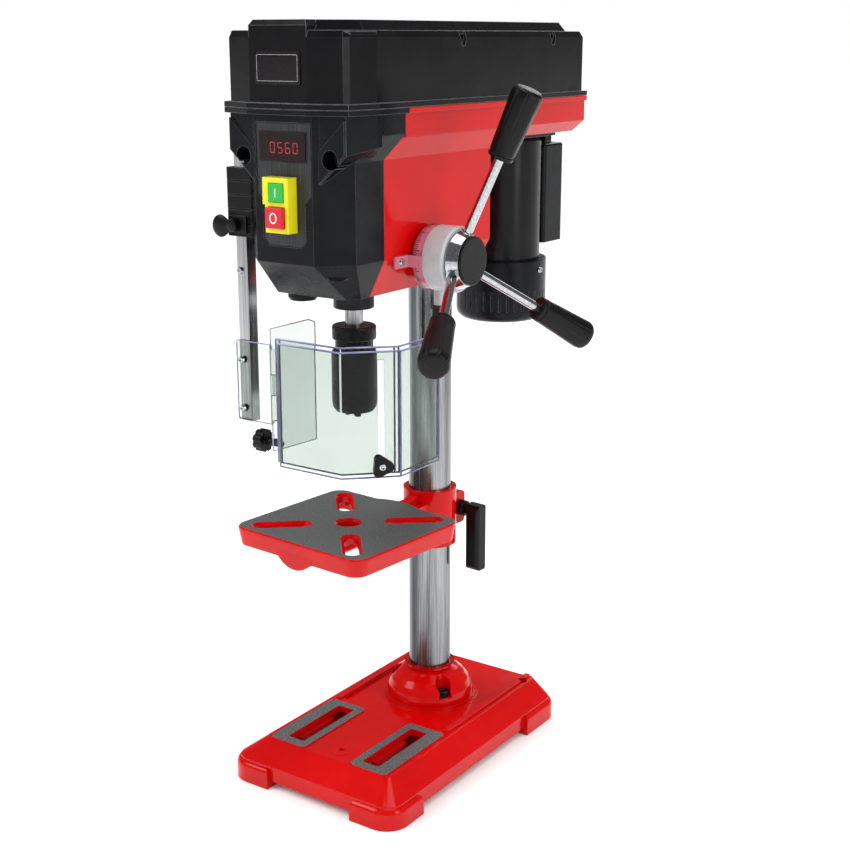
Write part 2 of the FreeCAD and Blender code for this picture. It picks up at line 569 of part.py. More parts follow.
for i in range(4):
    a = math.radians(90.0 * i)
    d = Vec(math.cos(a), math.sin(a), 0)
    p = Vec(0, motor_y, 531.0) + d * (skirt_r + 0.0)
    skirt_s = less(skirt_s, Part.makeCylinder(2.1, 12.0, p - d * 10.0, d))
    m_screws.append(pan_screw(tuple(p), d, 4.0, 2.4, 2.05, 7.0))
add("motor_skirt", skirt_s)
cbox = rounded_plate(-30.0, 36.0, 184.0, 229.0, 5.0, 557.0, 672.0)
cbox = soften(cbox, lambda e: abs(e.CenterOfMass.z - 672.0) < 0.1, 3.0)
cbox = less(cbox, rod((0, motor_y, 500.0), motor_r + 0.1, 260.0))
cbox = union(cbox, rounded_plate(6.0, 30.0, 196.0, 212.0, 4.0, 668.0, 679.0))
add("control_box", cbox)
gland = union(hex_socket((3.0, 214.0, 549.0), 9.5, 8.0, Z), taper((3.0, 214.0, 535.0), 5.5, 7.5, 14.0))
gland = less(gland, rod((3.0, 214.0, 530.0), 3.6, 23.0))
add("cable_gland", gland)

# ---- belt drive ----
step_h = 12.0
steps = 4
step_z0 = 737.0
belt_step = 1


def cone_pulley(radii, bore):
    prof = [(bore, step_z0)]
    for i, r in enumerate(radii):
        z = step_z0 + i * step_h
        prof += [(r, z), (r, z + 2.0), (r - 3.6, z + 2.0)]
        prof += [(r - 3.6, z + 10.0), (r, z + 10.0), (r, z + step_h)]
    prof.append((bore, step_z0 + steps * step_h))
    return prof


big = [60.0 - 8.0 * i for i in range(steps)]
little = [16.0 + 8.0 * i for i in range(steps)]
sp = lathe(cone_pulley(big, spindle_r + 0.08), (0, spin_y, 0))
sp = union(sp, tube((0, spin_y, 704.0), 14.1, spindle_r + 0.08, 34.0))
add("spindle_pulley", sp.removeSplitter())
mp = lathe(cone_pulley(little, 7.0), (0, motor_y, 0))
add("motor_pulley", mp)
add("motor_shaft", rod((0, motor_y, 658.0), 7.0, 130.0))


def belt_loop(r_a, r_b):
    d = motor_y - spin_y
    k = math.asin((r_a - r_b) / d)
    c = math.cos(k)
    s = math.sin(k)
    a_r = Vec(r_a * c, spin_y + r_a * s, 0)
    a_l = Vec(-r_a * c, spin_y + r_a * s, 0)
    b_r = Vec(r_b * c, motor_y + r_b * s, 0)
    b_l = Vec(-r_b * c, motor_y + r_b * s, 0)
    edges = [Part.LineSegment(a_r, b_r).toShape()]
    edges.append(Part.Arc(b_r, Vec(0, motor_y + r_b, 0), b_l).toShape())
    edges.append(Part.LineSegment(b_l, a_l).toShape())
    edges.append(Part.Arc(a_l, Vec(0, spin_y - r_a, 0), a_r).toShape())
    return Part.Face(Part.Wire(edges))


groove = -3.2
belt_zc = step_z0 + belt_step * step_h + 6.0
outer = belt_loop(big[belt_step] + 1.5, little[belt_step] + 1.5).extrude(Vec(0, 0, 7.0))
inner_b = belt_loop(big[belt_step] + groove, little[belt_step] + groove).extrude(Vec(0, 0, 7.0))
add("drive_belt", moved(outer.cut(inner_b), 0, 0, belt_zc - 3.5))

# ---- quill, rack and spindle ----
rack_pitch = math.pi * pin_module
add_h = 0.8 * pin_module
ded_h = 1.27 * pin_module
slack = 0.16
rack_y = spin_y + rack_back
quill = rod((0, spin_y, quill_low), quill_r, quill_high - quill_low)
quill = soften(quill, lambda e: e.CenterOfMass.z < quill_low + 0.1, 1.2)
quill = less(quill, rod((0, spin_y, quill_low - 1.0), spindle_r + 0.6, 200.0))
quill = less(quill, rod((0, spin_y, quill_low - 1.0), 16.0, 13.0))
quill = less(quill, rod((0, spin_y, quill_high - 12.0), 16.0, 13.0))
quill = less(quill, box(-8.0, 8.0, rack_y - ded_h, rack_y + 20.0, 552.0, 660.0))
tooth_pts = []
tooth_room = rod((0, spin_y, 540.0), quill_r - 0.1, 130.0)
half_p = rack_pitch / 4.0 - slack / 2.0
tan_a = math.tan(math.radians(20.0))
k = -4
while feed_z + (k + 0.5) * rack_pitch < 656.0:
    zc = feed_z + (k + 0.5) * rack_pitch
    k += 1
    if zc < 558.0:
        continue
    w0 = half_p + ded_h * tan_a
    w1 = half_p - add_h * tan_a
    pts = [(rack_y - ded_h - 0.5, zc - w0), (rack_y - ded_h, zc - w0), (rack_y + add_h, zc - w1)]
    pts += [(rack_y + add_h, zc + w1), (rack_y - ded_h, zc + w0), (rack_y - ded_h - 0.5, zc + w0)]
    tooth_pts.append(slab_x(pts, -7.9, 7.9).common(tooth_room))
quill = union(quill, tooth_pts)
add("quill", quill)
b_low = tube((0, spin_y, quill_low), 15.95, spindle_r + 0.05, 12.0)
b_high = tube((0, spin_y, quill_high - 12.0), 15.95, spindle_r + 0.05, 12.0)
add("quill_bearings", Part.makeCompound([b_low, b_high]))
spindle = rod((0, spin_y, 500.0), spindle_r, 286.0)
spindle = union(spindle, tube((0, spin_y, 507.0), 9.4, spindle_r - 1.0, quill_low - 507.6))
spindle = union(spindle, tube((0, spin_y, quill_high + 0.6), 12.0, spindle_r - 1.0, 5.0))
add("spindle", spindle)

# ---- pinion, hub, levers ----
def pinion_face():
    rb = pin_r * math.cos(math.radians(20.0))
    ra = pin_r + add_h
    rf = pin_r - ded_h
    inv20 = tan_a - math.radians(20.0)
    half_a = math.pi / (2 * pin_teeth) - slack / (2 * pin_r)
    pts = []
    for t in range(pin_teeth):
        c = math.pi + 2 * math.pi * t / pin_teeth
        flank = [(rf, half_a + inv20)]
        for j in range(5):
            r = rb + (ra - rb) * j / 4.0
            acs = math.acos(min(1.0, rb / r))
            flank.append((r, half_a + inv20 - (math.tan(acs) - acs)))
        for r, w in flank:
            pts.append((r * math.cos(c - w), r * math.sin(c - w)))
        for r, w in reversed(flank):
            pts.append((r * math.cos(c + w), r * math.sin(c + w)))
    return pts


gear = slab_x([(feed_y + p[0], feed_z + p[1]) for p in pinion_face()], -7.0, 7.0)
shaft = union(rod((-84.0, feed_y, feed_z), 9.0, 200.0, X), gear)
add("feed_shaft", shaft)
hub = taper((105.2, feed_y, feed_z), 30.2, 25.0, 12.8, X)
hub = soften(hub, lambda e: abs(e.CenterOfMass.x - 105.2) < 0.1, 1.5)
rods = []
grips = []
hub_x = 100.0
hub_front = box(105.2, 300.0, -400.0, 200.0, 300.0, 900.0)
for i in range(3):
    a = math.radians(lever_phase + 120.0 * i)
    sp_a = math.radians(lever_splay)
    d = Vec(math.sin(sp_a), math.cos(sp_a) * math.sin(a), math.cos(sp_a) * math.cos(a))
    o = Vec(hub_x, feed_y, feed_z)
    seat = Part.makeCylinder(6.4, 17.0, o + d * 14.0, d)
    hub = union(hub, seat)
    lever_rod = Part.makeCylinder(4.8, lever_len - 28.0, o + d * 14.0, d)
    rods.append(lever_rod.common(hub_front))
    body = Part.makeCone(13.0, 16.0, 62.0, o + d * (lever_len - 72.0), d)
    tip = Part.makeCone(16.0, 14.0, 10.0, o + d * (lever_len - 10.0), d)
    grip = union(body, tip)
    grips.append(grip.cut(rods[-1]))
hub = hub.common(hub_front)
hub = less(hub, rod((118.0, feed_y, feed_z), 60.0, 40.0, X))
hub = less(hub, rods)
hub = less(hub, rod((100.0, feed_y, feed_z), 9.0, 16.0, X))
add("feed_hub", hub)
add("feed_rods", Part.makeCompound(rods))
add("feed_grips", Part.makeCompound(grips))
cap = rod((118.0, feed_y, feed_z), 24.6, 3.0, X)
cap = soften(cap, lambda e: abs(e.CenterOfMass.x - 121.0) < 0.1, 1.4)
add("hub_cap", cap)
scale = tube((70.0, feed_y, feed_z), 33.0, 9.08, 11.0, X)
dial = tube((81.0, feed_y, feed_z), 33.3, 9.08, 23.6, X)
dial = soften(dial, lambda e: abs(e.CenterOfMass.x - 104.6) < 0.1 and e.Length > 150, 2.0)
add("depth_scale_ring", scale)
add("depth_dial_ring", dial)
ptr = box(64.0, 66.4, -157.0, feed_y - 33.9, 572.0, 584.0)
ptr = union(ptr, box(64.0, 82.0, feed_y - 36.0, feed_y - 33.9, 572.0, 584.0))
ptr = less(ptr, rod((60.0, -147.0, 578.0), 2.1, 10.0, X))
add("depth_pointer", ptr)
m_screws.append(pan_screw((66.4, -147.0, 578.0), X, 4.0, 2.4, 2.05, 2.4))
add("case_screws", Part.makeCompound(m_screws))
scap = rod((-90.0, feed_y, feed_z), 25.0, 20.6, X)
scap = soften(scap, lambda e: abs(e.CenterOfMass.x + 90.0) < 0.1, 3.0)
scap = less(scap, rod((-86.0, feed_y, feed_z), 19.5, 20.0, X))
add("spring_cap", scap)

# ---- chuck ----
cb_pts = [(0, 419.0), (13.0, 419.0), (18.0, 427.0), (18.0, 482.3), (19.8, 482.3), (19.8, 493.0)]
cb_pts += [(22.6, 493.0), (22.6, 506.0), (21.4, 507.0), (0, 507.0)]
cb = lathe(cb_pts, (0, spin_y, 0))
cb = less(cb, rod((0, spin_y, 500.0), spindle_r, 20.0), rod((0, spin_y, 414.0), 5.4, 62.0))
sleeve_pts = [(18.35, 424.0), (16.2, 420.0), (19.5, 417.0), (22.2, 421.0), (23.2, 427.0), (23.2, 478.0)]
sleeve_pts += [(21.8, 482.0), (20.9, 482.0), (20.9, 440.0), (18.35, 434.0)]
sleeve = lathe(sleeve_pts, (0, spin_y, 0))
jaw_tilt = math.radians(12.0)
jaw_r = 3.9
grip_r = 5.0
jaws = []
for i in range(3):
    a = math.radians(90.0 + 120.0 * i)
    rad = Vec(math.cos(a), math.sin(a), 0)
    d = Vec(rad.x * math.sin(jaw_tilt), rad.y * math.sin(jaw_tilt), math.cos(jaw_tilt))
    foot = Vec(0, spin_y, 412.0) + rad * 6.2
    bore = Part.makeCylinder(jaw_r + 0.1, 84.0, foot - d * 8.0, d)
    cb = less(cb, bore)
    jaw = Part.makeCylinder(jaw_r, 44.0, foot, d)
    tip_cut = rod((0, spin_y, 404.0), grip_r, 46.0)
    jaw = less(jaw, tip_cut)
    wide = 60.0 * math.tan(math.radians(58.0))
    wedge = [(0, 0), (60.0, wide), (60.0, -wide)]
    w = turned(plate(wedge, 390.0, 470.0), math.degrees(a))
    w = moved(w, 0, spin_y, 0)
    jaw = jaw.common(w)
    jaws.append(jaw)
    add("chuck_jaw_%d" % (i + 1), jaw)
add("chuck_body", cb.removeSplitter())
add("chuck_sleeve", sleeve)

# ---- sensor and lamp under the head ----
sens = soften(box(33.5, 43.5, -46.0, -35.0, 501.0, 517.0), upright, 1.5)
sens = union(rod((40.0, -40.0, 516.0), 6.2, cast_low - 516.0 + 4.0), sens)
parts["head_casting"] = less(parts["head_casting"], rod((40.0, -40.0, cast_low - 1.0), 6.2, 5.0))
add("speed_sensor", sens)
lamp = lathe([(0, 538.0), (13.0, 538.0), (15.0, 541.0), (15.0, cast_low), (0, cast_low)], (-26.0, -188.0, 0))
add("work_lamp", lamp)

# ---- chip guard ----
post_c = (-84.0, -206.0)
ps = 7.0
holder = soften(box(-98.0, -64.0, -217.5, -194.0, 600.0, 668.0), upright, 3.0)
hp = ps + 0.3
holder = less(holder, box(post_c[0] - hp, post_c[0] + hp, post_c[1] - hp, post_c[1] + hp, 590.0, 680.0))
for z in (612.0, 626.0, 640.0, 654.0):
    ring = box(-99.0, -60.0, -219.0, -193.0, z, z + 2.0)
    ring = less(ring, box(-97.0, -60.0, -216.5, -190.0, z - 1, z + 3.0))
    holder = less(holder, ring)
holder = union(holder, box(-93.0, -70.0, -221.0, -213.6, 604.0, 621.0))
holder = less(holder, rod((-84.0, -222.0, 612.0), 3.06, 8.6, Y))
add("guard_holder", holder)
post = box(post_c[0] - ps, post_c[0] + ps, post_c[1] - ps, post_c[1] + ps, 408.0, 698.0)
post = soften(post, upright, 1.2)
pw = ps - 1.5
post = less(post, box(post_c[0] - pw, post_c[0] + pw, post_c[1] - pw, post_c[1] + pw, 400.0, 700.0))
for z in (422.0, 473.0, 565.0):
    post = less(post, rod((-86.0, -216.0, z), 2.1, 6.0, Y))
add("guard_post", post)
knob = union(rod((-84.0, -226.0, 612.0), 3.0, 12.2, Y), rod((-84.0, -228.0, 612.0), 6.5, 6.7, Y))
wing = rod((-98.0, -227.5, 610.2), 12.5, 5.0, Y)
wing = union(wing, slab_y([(-96.5, 622.6), (-84.0, 618.4), (-84.0, 605.6), (-98.6, 597.7)], -227.5, -222.5))
add("post_knob", union(knob, wing))
hinge_c = (-44.5, -214.5)
plate_b = rounded_plate(-93.0, -46.0, 0, 83.0, 4.0, 0, 2.8)
plate_b.rotate(Vec(0, 0, 0), X, 90)
plate_b.translate(Vec(0, -213.1, 410.0))
for z in (422.0, 473.0):
    plate_b = less(plate_b, rod((-86.0, -220.0, z), 2.1, 10.0, Y))
plate_b = less(plate_b, box(-48.2, -40.0, -218.0, -211.0, 440.6, 462.4))
knuckles = [rod((*hinge_c, 414.5), 3.2, 26.1), rod((*hinge_c, 462.4), 3.2, 26.1)]
hinge_pin = rod((*hinge_c, 416.0), 1.5, 71.0)
add("guard_bracket", union(plate_b, knuckles, hinge_pin))
g_screws = []
for z, y in ((422.0, -215.9), (473.0, -215.9), (565.0, -213.0)):
    g_screws.append(pan_screw((-86.0, y, z), Vec(0, -1, 0), 4.0, 2.4, 2.05, 4.0))
add("guard_screws", Part.makeCompound(g_screws))
side_pts = [(-213.0, 381.0), (-142.0, 378.0), (-142.0, 505.0), (-152.0, 509.0), (-213.0, 509.0)]
side = slab_x(side_pts, -50.6, -48.0)
for z in (396.0, 440.0, 484.0):
    side = less(side, box(-52.0, -46.0, -204.9, -199.0, z, z + 4.0))
side = less(side, rod((-56.0, -200.0, 386.0), 3.06, 12.0, X))
add("guard_side_panel", side)
sk = union(rod((-70.0, -200.0, 386.0), 3.0, 23.0, X), rod((-70.0, -200.0, 386.0), 4.2, 19.1, X))
sk = union(sk, rod((-79.0, -200.0, 386.0), 12.0, 10.0, X))
for i in range(8):
    a = math.radians(45.0 * i)
    sk = less(sk, rod((-80.0, -200.0 + 13.4 * math.cos(a), 386.0 + 13.4 * math.sin(a)), 2.8, 12.0, X))
add("side_knob", sk)

pa = (41.0, -214.5)
pc = (81.5, -174.0)
pd = (81.5, -108.0)
sq = math.sqrt(0.5)
t_in = 1.4


def guard_path(x_start, inner, outer, z0, z1):
    k = math.tan(math.radians(22.5))
    pts = [(x_start, pa[1] + inner), (pa[0] - inner * k, pa[1] + inner), (pc[0] - inner, pc[1] + inner * k)]
    pts += [(pd[0] - inner, pd[1]), (pd[0] - outer, pd[1]), (pc[0] - outer, pc[1] + outer * k)]
    pts += [(pa[0] - outer * k, pa[1] + outer), (x_start, pa[1] + outer)]
    return plate(pts, z0, z1)


door = guard_path(-40.9, 1.4, -1.4, 371.5, 500.0)
door = union(door, rod((*hinge_c, 441.0), 3.2, 21.0), box(-43.0, -40.0, -215.9, -213.1, 441.0, 462.0))
door = less(door, rod((*hinge_c, 400.0), 1.58, 120.0))
n = Vec(sq, -sq, 0)
mid = Vec(68.5, -187.0, 0)
kz = 381.0
door = less(door, Part.makeCylinder(2.68, 20.0, Vec(mid.x, mid.y, kz) - n * 10.0, n))
add("guard_door", door)
ext = guard_path(-36.0, -1.8, -4.4, 368.0, 496.0)
slot = box(-3.3, 3.3, -8.0, 8.0, kz - 4.0, 488.0)
slot = turned(slot, 45.0)
slot = moved(slot, mid.x + n.x * 3.0, mid.y + n.y * 3.0, 0)
ext = less(ext, slot)
add("guard_extension", ext)
ek = Part.makeCylinder(2.6, 12.0, Vec(mid.x, mid.y, kz) - n * 2.0, n)
tri = []
for i in range(3):
    a = math.radians(40.0 + 120.0 * i)
    tri.append(Part.makeCylinder(4.6, 8.0, Vec(7.6 * math.cos(a), 7.6 * math.sin(a), 0), Z))
three = []
for i in range(3):
    a = math.radians(40.0 + 120.0 * i)
    corner_c = Vec(7.6 * math.cos(a), 7.6 * math.sin(a), 0)
    for side_a in (a - math.pi / 3.0, a + math.pi / 3.0):
        three.append(corner_c + Vec(math.cos(side_a), math.sin(side_a), 0) * 4.6)
tri.append(Part.Face(Part.makePolygon(three + [three[0]])).extrude(Vec(0, 0, 8.0)))
head3 = union(tri)
head3.Placement = FreeCAD.Placement(Vec(mid.x, mid.y, kz) + n * 4.8, FreeCAD.Rotation(Z, n))
add("extension_knob", union(ek, head3))

# ---- write one file per piece ----
os.makedirs("parts", exist_ok=True)
for name, shape in parts.items():
    if not shape.isValid():
        print("invalid", name)
    if shape.Volume <= 0:
        print("no volume", name)
    n_solids = len(shape.Solids)
    if n_solids != 1:
        print("solids", name, n_solids)
    shape.exportStep("parts/%s.step" % name)
print("pieces", len(parts))
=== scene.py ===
import bpy
import bmesh
import json
import math
from mathutils import Matrix, Vector


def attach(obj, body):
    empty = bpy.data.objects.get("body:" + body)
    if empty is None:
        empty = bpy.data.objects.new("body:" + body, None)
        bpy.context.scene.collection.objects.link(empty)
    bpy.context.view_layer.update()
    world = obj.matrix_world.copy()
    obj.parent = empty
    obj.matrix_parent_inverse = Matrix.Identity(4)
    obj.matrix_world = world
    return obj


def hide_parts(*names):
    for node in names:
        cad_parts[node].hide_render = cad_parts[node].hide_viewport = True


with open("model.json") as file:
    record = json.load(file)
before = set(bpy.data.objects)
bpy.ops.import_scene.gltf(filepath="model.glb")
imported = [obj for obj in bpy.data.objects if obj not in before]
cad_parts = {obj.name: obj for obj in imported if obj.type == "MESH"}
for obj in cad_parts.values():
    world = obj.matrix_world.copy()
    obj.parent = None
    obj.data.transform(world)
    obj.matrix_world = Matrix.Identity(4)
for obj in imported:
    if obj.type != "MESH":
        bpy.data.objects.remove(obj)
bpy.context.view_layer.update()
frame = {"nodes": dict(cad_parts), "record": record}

nodes = frame["nodes"]
scene = bpy.context.scene


BEVEL_SAMPLES = 6


# ---------------------------------------------------------------- shader builder
class Shade:
    """One procedural material: object-space patterns feeding a Principled shader."""

    def __init__(self, name):
        self.mat = bpy.data.materials.new(name)
        self.mat.use_nodes = True
        self.tree = self.mat.node_tree
        self.bsdf = self.tree.nodes["Principled BSDF"]
        self.coord = self.new("ShaderNodeTexCoord")
        self.split = self.new("ShaderNodeSeparateXYZ")
        self.link(self.coord.outputs["Object"], self.split.inputs[0])

    def new(self, kind, **values):
        n = self.tree.nodes.new(kind)
        for k, v in values.items():
            setattr(n, k, v)
        return n

    def link(self, a, b):
        self.tree.links.new(a, b)

    def put(self, **values):
        for k, v in values.items():
            self.bsdf.inputs[k.replace("_", " ")].default_value = v

    def feed(self, socket, v):
        """Set a constant on the socket, or link an output to it."""
        if isinstance(v, tuple):
            socket.default_value = (*v, 1.0)
        elif isinstance(v, (int, float)):
            socket.default_value = v
        else:
            self.link(v, socket)

    def math(self, op, *values):
        n = self.new("ShaderNodeMath", operation=op)
        for socket, v in zip(n.inputs, values):
            self.feed(socket, v)
        return n.outputs[0]

    def scaled(self, x, y, z):
        """Object coordinates stretched along each axis, for streaks."""
        n = self.new("ShaderNodeMapping")
        n.inputs["Scale"].default_value = (x, y, z)
        self.link(self.coord.outputs["Object"], n.inputs["Vector"])
        return n.outputs[0]

    def noise(self, scale, detail=3.0, rough=0.55, vector=None):
        n = self.new("ShaderNodeTexNoise")
        n.inputs["Scale"].default_value = scale
        n.inputs["Detail"].default_value = detail
        n.inputs["Roughness"].default_value = rough
        self.link(vector or self.coord.outputs["Object"], n.inputs["Vector"])
        return n.outputs["Fac"]

    def ramp(self, fac, stops):
        """A colour ramp over (position, colour) stops."""
        n = self.new("ShaderNodeValToRGB")
        el = n.color_ramp.elements
        while len(el) < len(stops):
            el.new(0.5)
        for e, (pos, col) in zip(el, stops):
            e.position = pos
            e.color = (*col, 1.0)
        self.link(fac, n.inputs[0])
        return n.outputs[0]

    def span(self, fac, lo, hi, a, b):
        """Map lo..hi to a..b, clamped."""
        n = self.new("ShaderNodeMapRange")
        for k, v in zip(("From Min", "From Max", "To Min", "To Max"), (lo, hi, a, b)):
            n.inputs[k].default_value = v
        self.link(fac, n.inputs["Value"])
        return n.outputs[0]

    def blend(self, fac, a, b):
        """Mix two colours."""
        n = self.new("ShaderNodeMix", data_type="RGBA")
        for i, v in (("Factor", fac), (6, a), (7, b)):
            self.feed(n.inputs[i], v)
        return n.outputs[2]

    def choose(self, fac, a, b):
        """Mix two values."""
        n = self.new("ShaderNodeMix", data_type="FLOAT")
        for i, v in (("Factor", fac), (2, a), (3, b)):
            self.feed(n.inputs[i], v)
        return n.outputs[0]

    def color(self, out):
        self.link(out, self.bsdf.inputs["Base Color"])

    def rough(self, out):
        self.link(out, self.bsdf.inputs["Roughness"])

    def rounded(self, radius):
        """The surface normal with edges rounded to the radius."""
        bev = self.new("ShaderNodeBevel", samples=BEVEL_SAMPLES)
        bev.inputs["Radius"].default_value = radius
        return bev.outputs[0]

    def relief(self, height, depth, radius=0.0):
        """Surface bump of the given depth, over edges rounded to the radius."""
        bump = self.new("ShaderNodeBump")
        bump.inputs["Distance"].default_value = depth
        bump.inputs["Strength"].default_value = 1.0
        self.link(height, bump.inputs["Height"])
        if radius:
            self.link(self.rounded(radius), bump.inputs["Normal"])
        self.link(bump.outputs[0], self.bsdf.inputs["Normal"])

    def edge(self, radius):
        """1 on a sharp edge and 0 on a flat face, to carry painted edge highlights on plastic and
        rubbed edges on steel.
        """
        geo = self.new("ShaderNodeNewGeometry")
        dot = self.new("ShaderNodeVectorMath", operation="DOT_PRODUCT")
        self.link(self.rounded(radius), dot.inputs[0])
        self.link(geo.outputs["Normal"], dot.inputs[1])
        return self.span(dot.outputs["Value"], 0.98, 0.80, 0.0, 1.0)


# ---------------------------------------------------------------- finishes
RED_DEEP = (0.47, 0.0008, 0.0010)
RED_LIT = (0.56, 0.0014, 0.0016)
# where the machined faces of the base and table begin, and the sensor's black head ends
BASE_MILLED_Z = 0.04385
BASE_MILLED_Y = -0.0835
BASE_RAIL_X = 0.03
TABLE_MILLED_Z = 0.28985
SENSOR_HEAD_Z = 0.5172


def enamel(name, deep, lit, radius, gloss=0.12):
    """Glossy paint with a soft orange-peel surface."""
    s = Shade(name)
    s.put(Roughness=gloss, Coat_Weight=0.10, Coat_Roughness=0.04, IOR=1.45)
    s.put(Specular_IOR_Level=0.2)
    s.color(s.ramp(s.noise(9.0, 4.0), [(0.35, deep), (0.65, lit)]))
    s.rough(s.span(s.noise(60.0, 3.0), 0.3, 0.7, gloss * 0.7, gloss * 1.5))
    s.relief(s.noise(330.0, 2.0), 0.00006, radius)
    return s.mat


def milled_over_enamel(name, mask_of, radius):
    """Red casting whose machined faces are bare speckled iron."""
    s = Shade(name)
    s.put(Coat_Weight=0.10, Coat_Roughness=0.04, IOR=1.45, Specular_IOR_Level=0.25)
    mask = mask_of(s)
    fine = s.noise(1500.0, 2.0, 0.7)
    grain = s.noise(700.0, 3.0, 0.65)
    cuts = s.noise(1.0, 2.0, 0.5, s.scaled(60.0, 900.0, 60.0))
    tones = [(0.38, (0.055, 0.060, 0.060)), (0.50, (0.13, 0.14, 0.14)), (0.62, (0.27, 0.28, 0.28))]
    iron = s.ramp(grain, tones)
    iron = s.blend(s.span(fine, 0.45, 0.62, 0.0, 0.5), iron, (0.10, 0.105, 0.105))
    red = s.ramp(s.noise(9.0, 4.0), [(0.35, RED_DEEP), (0.65, RED_LIT)])
    s.color(s.blend(mask, red, iron))
    paint_rough = s.span(s.noise(60.0), 0.3, 0.7, 0.09, 0.18)
    s.rough(s.choose(mask, paint_rough, s.span(cuts, 0.3, 0.7, 0.42, 0.6)))
    s.link(s.math("MULTIPLY", mask, 0.35), s.bsdf.inputs["Metallic"])
    peel = s.math("MULTIPLY", s.noise(330.0), s.math("SUBTRACT", 1.0, mask))
    s.relief(s.math("ADD", peel, s.math("MULTIPLY", grain, mask)), 0.00008, radius)
    return s.mat


def base_mask(s):
    """The two raised rails round the slots, in front of the column."""
    x, y, z = s.split.outputs
    top = s.math("GREATER_THAN", z, BASE_MILLED_Z)
    ahead = s.math("LESS_THAN", y, BASE_MILLED_Y)
    wide = s.math("GREATER_THAN", s.math("ABSOLUTE", x), BASE_RAIL_X)
    return s.math("MULTIPLY", s.math("MULTIPLY", top, ahead), wide)


def table_mask(s):
    return s.math("GREATER_THAN", s.split.outputs[2], TABLE_MILLED_Z)


def plastic(name, dark, light, rough, radius, grain=1100.0, depth=0.00005, spec=0.5,
            painted_edge_highlight=None):
    """Moulded plastic; painted_edge_highlight is the paler tone painted along its sharp edges as a
    highlight.
    """
    s = Shade(name)
    s.put(IOR=1.46, Specular_IOR_Level=spec)
    tone = s.ramp(s.noise(26.0, 4.0), [(0.35, dark), (0.65, light)])
    # painted highlight: a paler tone laid in patches along the sharp edges, where light would catch
    # them
    if painted_edge_highlight:
        patches = s.span(s.noise(120.0, 3.0), 0.3, 0.6, 0.45, 1.0)
        tone = s.blend(s.math("MULTIPLY", s.edge(radius), patches), tone, painted_edge_highlight)
    s.color(tone)
    s.rough(s.span(s.noise(90.0, 3.0), 0.3, 0.7, rough * 0.82, rough * 1.18))
    s.relief(s.noise(grain, 2.0, 0.6), depth, radius)
    return s.mat


def metal(name, dark, light, rough, radius, streak=(40.0, 40.0, 40.0), depth=0.00002,
          scale=10.0):
    """Bare metal whose tool marks follow the streak's scale along X, Y and Z."""
    s = Shade(name)
    s.put(Metallic=1.0)
    lines = s.noise(scale, 4.0, 0.6, s.scaled(*streak))
    s.color(s.ramp(lines, [(0.32, dark), (0.68, light)]))
    s.rough(s.span(lines, 0.3, 0.7, rough * 0.75, rough * 1.3))
    s.relief(lines, depth, radius)
    return s.mat


def column_steel(name):
    """Drawn tube: fine lengthwise drawing marks over broad darker bands round the tube, the bands a
    painted reflection of a dark surround.
    """
    s = Shade(name)
    s.put(Metallic=1.0)
    # painted reflection: broad dark and pale bands running up the tube, as a dark surround would
    # reflect in it
    painted_reflection_bands = s.noise(1.0, 2.0, 0.5, s.scaled(46.0, 46.0, 1.2))
    fine = s.noise(1.0, 4.0, 0.6, s.scaled(700.0, 700.0, 14.0))
    tone = s.math("ADD", s.math("MULTIPLY", painted_reflection_bands, 0.72), s.math("MULTIPLY", fine, 0.28))
    painted_reflection_tones = [(0.36, (0.034, 0.037, 0.040)), (0.50, (0.14, 0.148, 0.155)),
             (0.62, (0.38, 0.39, 0.40))]
    s.color(s.ramp(tone, painted_reflection_tones))
    s.rough(s.span(fine, 0.3, 0.7, 0.16, 0.30))
    s.relief(fine, 0.00002)
    return s.mat


def sensor_grey(name):
    """Pale moulded boss with a black reading head below it."""
    s = Shade(name)
    low = s.math("LESS_THAN", s.split.outputs[2], SENSOR_HEAD_Z)
    pale = s.ramp(s.noise(60.0), [(0.35, (0.42, 0.43, 0.44)), (0.65, (0.52, 0.53, 0.54))])
    s.color(s.blend(low, pale, (0.006, 0.006, 0.007)))
    s.rough(s.span(s.noise(300.0), 0.3, 0.7, 0.32, 0.46))
    s.relief(s.noise(900.0), 0.00003, 0.0006)
    return s.mat


def worn_steel(name, dark, bare, rough, radius):
    """Black-oxide steel, rubbed bright along its edges."""
    s = Shade(name)
    s.put(Metallic=0.85)
    cloud = s.ramp(s.noise(55.0, 5.0), [(0.3, dark), (0.7, tuple(c * 1.7 for c in dark))])
    patches = s.span(s.noise(240.0, 4.0), 0.35, 0.6, 0.25, 1.0)
    s.color(s.blend(s.math("MULTIPLY", s.edge(radius * 1.3), patches), cloud, bare))
    s.rough(s.span(s.noise(160.0, 3.0), 0.3, 0.7, rough * 0.8, rough * 1.25))
    s.relief(s.noise(900.0, 2.0), 0.00003, radius)
    return s.mat


def clear(name, tint, rough, scratch=0.02):
    """Thin clear sheet with fine upright scratches."""
    s = Shade(name)
    s.put(Transmission_Weight=1.0, IOR=1.16)
    paler = tuple(min(1.0, c * 1.03) for c in tint)
    s.color(s.ramp(s.noise(14.0, 3.0), [(0.3, tint), (0.7, paler)]))
    hair = s.noise(1.0, 4.0, 0.7, s.scaled(700.0, 700.0, 40.0))
    s.rough(s.span(hair, 0.45, 0.75, rough, rough + scratch))
    return s.mat


def clear_scale(name):
    """Rose-tinted, half clear plastic of the depth scale."""
    s = Shade(name)
    s.put(Transmission_Weight=0.25, IOR=1.47, Coat_Weight=0.3, Coat_Roughness=0.04)
    s.color(s.ramp(s.noise(40.0, 3.0), [(0.3, (0.62, 0.17, 0.24)), (0.7, (0.74, 0.25, 0.32))]))
    s.rough(s.span(s.noise(200.0), 0.3, 0.7, 0.07, 0.16))
    s.relief(s.noise(500.0), 0.00002, 0.0005)
    return s.mat


